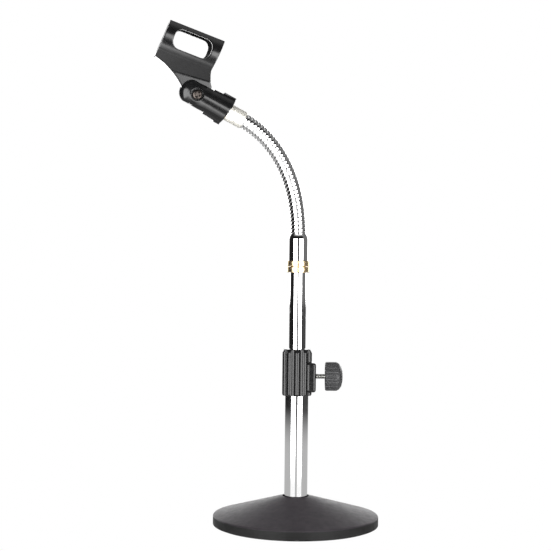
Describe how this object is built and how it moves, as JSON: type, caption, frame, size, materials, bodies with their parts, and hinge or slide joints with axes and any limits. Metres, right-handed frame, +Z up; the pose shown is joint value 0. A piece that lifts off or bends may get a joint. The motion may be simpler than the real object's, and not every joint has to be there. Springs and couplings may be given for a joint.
{
  "type": "desktop gooseneck microphone stand",
  "caption": "Desktop microphone stand: weighted round base, telescopic chromed mast with knob clamp, bendable gooseneck and a tilting snap-in handle clip.",
  "frame": {"origin": "centre of the round base on the mast axis, at the plane the foot ring stands on", "axes": "+Z up along the mast; the neck leans to -X, 13 degrees towards -Y; the clamp knob points to +X"},
  "size_m": [0.2201, 0.16, 0.4821],
  "materials": {
    "base_paint": "satin textured black",
    "foot_rubber": "matt",
    "steel": "zinc plated",
    "chrome": "polished",
    "black_plastic": "satin moulded",
    "knob_plastic": "satin moulded",
    "nylon": "natural",
    "brass": "bright turned",
    "coil_chrome": "polished wire",
    "spring_steel": "oiled spring wire",
    "nickel": "satin nickel plated",
    "screw_metal": "dark plated",
    "clip_plastic": "satin moulded"
  },
  "bodies": {
    "stand": {"base_casting": "base_paint", "foot_ring": "foot_rubber", "base_washer": "steel", "base_bolt": "steel", "tube_plug": "steel", "lower_tube": "chrome", "clutch_housing": "black_plastic", "clutch_bush": "nylon", "clutch_nut": "steel"},
    "pad": {"clamp_pad": "brass"},
    "knob": {"clamp_screw": "steel", "clamp_knob": "knob_plastic"},
    "guide": {"glide_bush": "nylon"},
    "mast": {"upper_tube": "chrome", "tube_end_cap": "nylon", "stop_ring": "steel", "top_stud": "brass", "lock_ring": "brass", "lower_ferrule": "chrome", "neck_wire_00": "coil_chrome", "neck_core_00": "spring_steel"},
    "neck_01": {"neck_wire_01": "coil_chrome", "neck_core_01": "spring_steel"},
    "neck_02": {"neck_wire_02": "coil_chrome", "neck_core_02": "spring_steel"},
    "neck_03": {"neck_wire_03": "coil_chrome", "neck_core_03": "spring_steel"},
    "neck_04": {"neck_wire_04": "coil_chrome", "neck_core_04": "spring_steel"},
    "neck_05": {"neck_wire_05": "coil_chrome", "neck_core_05": "spring_steel"},
    "neck_06": {"neck_wire_06": "coil_chrome", "neck_core_06": "spring_steel"},
    "neck_07": {"neck_wire_07": "coil_chrome", "neck_core_07": "spring_steel"},
    "neck_08": {"neck_wire_08": "coil_chrome", "neck_core_08": "spring_steel"},
    "neck_09": {"neck_wire_09": "coil_chrome", "neck_core_09": "spring_steel"},
    "neck_10": {"neck_wire_10": "coil_chrome", "neck_core_10": "spring_steel"},
    "neck_11": {"neck_wire_11": "coil_chrome", "neck_core_11": "spring_steel"},
    "neck_head": {"neck_wire_12": "coil_chrome", "neck_core_12": "spring_steel", "upper_ferrule": "nickel", "upper_stud": "chrome"},
    "swivel": {"swivel_base": "clip_plastic", "thread_insert": "brass", "pivot_screw": "screw_metal", "pivot_nut": "steel", "pivot_washers": "nylon"},
    "clip": {"clip_body": "clip_plastic"}
  },
  "joints": [
    {"name": "clamp_advance", "type": "slide", "parent": "stand", "child": "pad", "axis": [1, 0, 0], "range_m": [0, 0.0016]},
    {"name": "clamp_turn", "type": "hinge", "parent": "pad", "child": "knob", "pos_m": [0.02, 0, 0.1446], "axis": [1, 0, 0], "range_deg": [0, 720]},
    {"name": "height_slide", "type": "slide", "parent": "stand", "child": "guide", "axis": [0, 0, 1], "range_m": [-0.06, 0.025]},
    {"name": "mast_swivel", "type": "hinge", "parent": "guide", "child": "mast", "pos_m": [0, 0, 0.12], "axis": [0, 0, 1], "continuous": true},
    {"name": "neck_lower_bend", "type": "hinge", "parent": "mast", "child": "neck_01", "pos_m": [-0.00017, -0.00004, 0.28732], "axis": [0.225, -0.9744, 0], "range_deg": [-14, 9]},
    {"name": "neck_side_bend", "type": "hinge", "parent": "neck_01", "child": "neck_02", "pos_m": [-0.0008, -0.00018, 0.29794], "axis": [0.9706, 0.2241, 0.0883], "range_deg": [-9, 9]},
    {"name": "neck_lower_bend_03", "type": "hinge", "parent": "neck_02", "child": "neck_03", "pos_m": [-0.00203, -0.00047, 0.3085], "axis": [0.225, -0.9744, 0], "range_deg": [-14, 9]},
    {"name": "neck_lower_bend_04", "type": "hinge", "parent": "neck_03", "child": "neck_04", "pos_m": [-0.00398, -0.00092, 0.31895], "axis": [0.225, -0.9744, 0], "range_deg": [-14, 9]},
    {"name": "neck_side_bend_05", "type": "hinge", "parent": "neck_04", "child": "neck_05", "pos_m": [-0.00671, -0.00155, 0.32922], "axis": [0.9287, 0.2144, 0.3026], "range_deg": [-9, 9]},
    {"name": "neck_lower_bend_06", "type": "hinge", "parent": "neck_05", "child": "neck_06", "pos_m": [-0.01027, -0.00237, 0.33921], "axis": [0.225, -0.9744, 0], "range_deg": [-14, 9]},
    {"name": "neck_upper_bend", "type": "hinge", "parent": "neck_06", "child": "neck_07", "pos_m": [-0.0147, -0.00339, 0.34883], "axis": [0.225, -0.9744, 0], "range_deg": [-15, 5.5]},
    {"name": "neck_side_bend_08", "type": "hinge", "parent": "neck_07", "child": "neck_08", "pos_m": [-0.02001, -0.00462, 0.35796], "axis": [0.8109, 0.1872, 0.5544], "range_deg": [-9, 9]},
    {"name": "neck_upper_bend_09", "type": "hinge", "parent": "neck_08", "child": "neck_09", "pos_m": [-0.02619, -0.00605, 0.3665], "axis": [0.225, -0.9744, 0], "range_deg": [-15, 5.5]},
    {"name": "neck_upper_bend_10", "type": "hinge", "parent": "neck_09", "child": "neck_10", "pos_m": [-0.03322, -0.00767, 0.37431], "axis": [0.225, -0.9744, 0], "range_deg": [-15, 5.5]},
    {"name": "neck_side_bend_11", "type": "hinge", "parent": "neck_10", "child": "neck_11", "pos_m": [-0.04105, -0.00948, 0.38128], "axis": [0.5954, 0.1375, 0.7916], "range_deg": [-9, 9]},
    {"name": "neck_upper_bend_12", "type": "hinge", "parent": "neck_11", "child": "neck_head", "pos_m": [-0.04961, -0.01145, 0.38728], "axis": [0.225, -0.9744, 0], "range_deg": [-15, 5.5]},
    {"name": "clip_swivel", "type": "hinge", "parent": "neck_head", "child": "swivel", "pos_m": [-0.09891, -0.02283, 0.4129], "axis": [-0.8712, -0.2011, 0.4478], "range_deg": [-90, 90]},
    {"name": "clip_tilt", "type": "hinge", "parent": "swivel", "child": "clip", "pos_m": [-0.09891, -0.02283, 0.4129], "axis": [-0.1701, 0.9794, 0.109], "range_deg": [-130, 15]}
  ],
  "couplings": [
    {"joint": "clamp_turn", "follows": "clamp_advance", "rad_per_m": 7854},
    {"joint": "neck_lower_bend_03", "follows": "neck_lower_bend", "ratio": 1},
    {"joint": "neck_lower_bend_04", "follows": "neck_lower_bend", "ratio": 1},
    {"joint": "neck_lower_bend_06", "follows": "neck_lower_bend", "ratio": 1},
    {"joint": "neck_upper_bend_09", "follows": "neck_upper_bend", "ratio": 1},
    {"joint": "neck_upper_bend_10", "follows": "neck_upper_bend", "ratio": 1},
    {"joint": "neck_upper_bend_12", "follows": "neck_upper_bend", "ratio": 1},
    {"joint": "neck_side_bend_05", "follows": "neck_side_bend", "ratio": 1},
    {"joint": "neck_side_bend_08", "follows": "neck_side_bend", "ratio": 1},
    {"joint": "neck_side_bend_11", "follows": "neck_side_bend", "ratio": 1}
  ]
}
